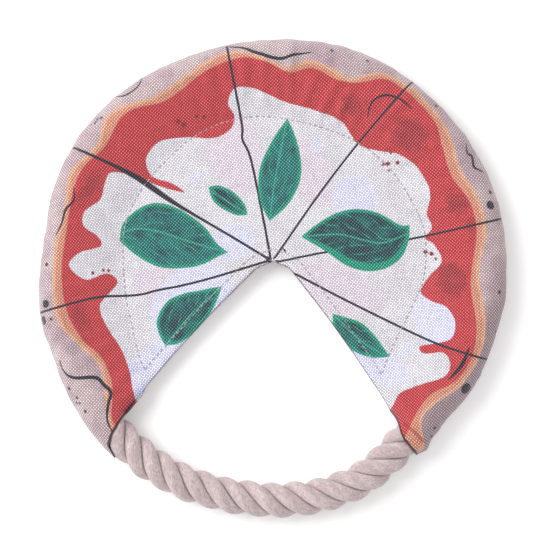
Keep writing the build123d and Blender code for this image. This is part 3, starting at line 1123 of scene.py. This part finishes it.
def inset_line(line, side):
    """The seam beside one edge of the slice, from over the tip outwards."""
    step = np.gradient(line, axis=0)
    across = unit(side * np.stack([step[:, 1], -step[:, 0]], axis=1))
    first = np.degrees(np.arctan2(across[0, 1], across[0, 0]))
    turn = (90 - first + 180) % 360 - 180
    bend = APEX + polar(first + np.linspace(turn, 0, 8), EDGE_SEAM_INSET)
    return np.vstack([bend[:-1], line + EDGE_SEAM_INSET * across])


def seam_lines():
    """The three seams in plan, as fine runs of points."""
    lines = {}
    ends = []
    for name, line, side in (("left_edge", LEFT_LINE, 1), ("right_edge", RIGHT_LINE, -1)):
        seam = inset_line(line, side)
        radius = np.hypot(seam[:, 0], seam[:, 1])
        around = np.degrees(np.arctan2(seam[:, 1], seam[:, 0]))
        outside = radius > SEAM + seam_shift(around)
        last = np.argmax(outside)
        lines[name] = seam[:last + 1]
        ends.append(around[last])
    around = np.linspace(ends[1], ends[0] % 360, 500)
    lines["rim"] = polar(around, SEAM + seam_shift(around))
    return lines


def stitch_rings(line, run, middle, side):
    """Rings of points along one stitch, which dips into the canvas at both ends."""
    half = STITCH_LENGTH / 2 * rng.uniform(0.9, 1.05)
    plan = read_line(line, run, middle + np.linspace(-half, half, STITCH_STEPS))
    x, y = unit(plan[-1] - plan[0])
    across = np.array([-y, x])
    plan = plan + across * rng.uniform(-0.1, 0.1)
    share = np.linspace(-1, 1, STITCH_STEPS)
    rise = WEB_HALF - SUNK + ARCH * (1 - share**4) - DIP * np.abs(share)**8
    thick = THREAD * np.sqrt(np.clip(1.02 - share**6, 0.05, 1))
    turn = np.linspace(0, 2 * np.pi, THREAD_SIDES, endpoint=False)
    ring = np.zeros((STITCH_STEPS, THREAD_SIDES, 3))
    ring[..., :2] = plan[:, None] + (thick[:, None] * np.cos(turn))[..., None] * across
    ring[..., 2] = MID + side * (rise[:, None] + thick[:, None] * np.sin(turn))
    return ring.reshape(-1, 3)


def make_stitches(name, line, upper, material):
    """One row of stitches on the upper or the under side."""
    run = arc_length(line)
    count = int(run[-1] / STITCH_PITCH)
    middles = (np.arange(count) + 0.5) * run[-1] / count
    points = [stitch_rings(line, run, middle, 1 if upper else -1) for middle in middles]
    cap = np.arange(THREAD_SIDES)
    stitch = grid_faces(STITCH_STEPS, THREAD_SIDES, closed=True).tolist()
    stitch += [cap[::-1].tolist(), (cap + (STITCH_STEPS - 1) * THREAD_SIDES).tolist()]
    bases = np.arange(count) * STITCH_STEPS * THREAD_SIDES
    faces = [np.array(face)[::1 if upper else -1] + base for base in bases for face in stitch]
    side = "front_" if upper else "back_"
    piece = new_piece(side + name + "_thread", np.vstack(points), faces, material)
    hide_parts(side + name + "_stitches")


def sewing_thread():
    g = Graph("sewing_thread")
    place = g.place()
    tone = g.noise(place, 90.0, 2.0)
    colour = g.blend(g.ramp(tone, 0.4, 0.6), THREAD_DARK, THREAD_PALE)
    return g.finish(colour, 0.7, g.noise(place, 3200.0, 2.0), 0.05, sheen=0.2)


# --- Hidden pieces

FELT_DARK, FELT_PALE = (0.70, 0.69, 0.66), (0.80, 0.79, 0.77)
TAPE_DARK, TAPE_PALE = (0.74, 0.72, 0.66), (0.84, 0.82, 0.76)
TAPE_HALF = 15.0  # half the length that the tape covers
TAPE_TURNS = 5
TAPE_ROWS, TAPE_COLUMNS = 61, 48
TAPE_THICKNESS = 0.1


def felt():
    g = Graph("felt")
    hair = g.noise(g.place(), 900.0, 4.0, 0.7)
    colour = g.blend(g.ramp(hair, 0.35, 0.65), FELT_DARK, FELT_PALE)
    return g.finish(colour, 0.95, hair, 0.2, sheen=0.4)


def make_wrap(line, material):
    """Tape wound round the rope's butt joint, over both ends of the rope."""
    run = arc_length(line)
    at = np.linspace(-TAPE_HALF, TAPE_HALF, TAPE_ROWS)
    point = read_line(line, run, np.mod(at, run[-1]))
    tangent = unit(np.gradient(point, axis=0))
    turn = np.linspace(0, 2 * np.pi, TAPE_COLUMNS, endpoint=False)
    turns = at[:, None] / (2 * TAPE_HALF) * TAPE_TURNS + turn / (2 * np.pi)
    radius = ROPE_CREST + TAPE_THICKNESS * np.mod(turns, 1.0)
    ring = tube_round(point, tangent, radius, turn)
    faces = grid_faces(TAPE_ROWS, TAPE_COLUMNS, closed=True, flip=True)
    piece = new_piece("joint_tape", ring.reshape(-1, 3), faces, material)
    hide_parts("rope_joint_wrap")


def wrap_tape():
    g = Graph("wrap_tape")
    crease = g.noise(g.place(), 400.0, 3.0)
    colour = g.blend(crease, TAPE_DARK, TAPE_PALE)
    return g.finish(colour, 0.6, crease, 0.1)


# --- Camera, floor and light

VIEW_WIDTH = 279.4  # of the floor that the camera sees
CAMERA_HEIGHT = 2200.0
CAMERA_SHIFT = (2.03, 0.35)  # the picture's centre from the ring's
FLOOR_REACH = 2500.0
FLOOR_DARK, FLOOR_PALE = 0.95, 0.97
FLOOR_GLOW = 0.10  # a light table: keeps the shadows faint
KEY_PLACE = (-1.36, 0.72, 1.5)  # in metres, as are the light's other values
KEY_SIZE = 1.6
KEY_POWER = 34.0
SKY = 0.84


def make_camera():
    data = bpy.data.cameras.new("camera")
    data.sensor_width = 36.0
    data.lens = data.sensor_width * (CAMERA_HEIGHT - MID) / VIEW_WIDTH
    data.clip_start = 0.05
    data.clip_end = 20.0
    camera = new_object("camera", data)
    camera.location = (CAMERA_SHIFT[0] * MM, CAMERA_SHIFT[1] * MM, CAMERA_HEIGHT * MM)
    bpy.context.scene.camera = camera


def make_floor():
    g = Graph("floor")
    grain = g.noise(g.place(), 40.0, 2.0)
    colour = g.blend(grain, (FLOOR_DARK,) * 3, (FLOOR_PALE,) * 3)
    corners = np.array([(-1, -1, 0), (1, -1, 0), (1, 1, 0), (-1, 1, 0)]) * FLOOR_REACH
    mesh = new_mesh("floor", corners, [(0, 1, 2, 3)])
    mesh.materials.append(g.finish(colour, 0.9, grain, 0.0, sheen=0.0, specular=0.1,
                                   glow=FLOOR_GLOW))
    new_object("floor", mesh)


def make_light():
    """One broad soft lamp at the upper left, and an even white sky."""
    data = bpy.data.lights.new("key", "AREA")
    data.shape = "DISK"
    data.size = KEY_SIZE
    data.energy = KEY_POWER
    lamp = new_object("key", data)
    lamp.location = KEY_PLACE
    lamp.rotation_mode = "QUATERNION"
    lamp.rotation_quaternion = (-Vector(KEY_PLACE)).to_track_quat("-Z", "Y")
    world = bpy.data.worlds.new("world")
    world.use_nodes = True
    background = world.node_tree.nodes["Background"]
    background.inputs["Color"].default_value = (1.0, 1.0, 1.0, 1)
    background.inputs["Strength"].default_value = SKY
    bpy.context.scene.world = world
    bpy.context.scene.view_settings.view_transform = "Standard"


# --- The whole ring

make_camera()
rope_line = rope_route()
make_rope(rope_line, cotton_rope())
make_wrap(rope_line, wrap_tape())

front, front_flat = make_panel("front_canvas", True, printed_canvas())
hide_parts("front_panel")
add_print(front, front_flat)
back, _ = make_panel("back_canvas", False, plain_canvas())
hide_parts("back_panel")

thread = sewing_thread()
for seam_name, seam_line in seam_lines().items():
    for is_upper in (True, False):
        make_stitches(seam_name, seam_line, is_upper, thread)

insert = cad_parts["core_insert"]
insert.data.materials.clear()
insert.data.materials.append(felt())

make_floor()
make_light()
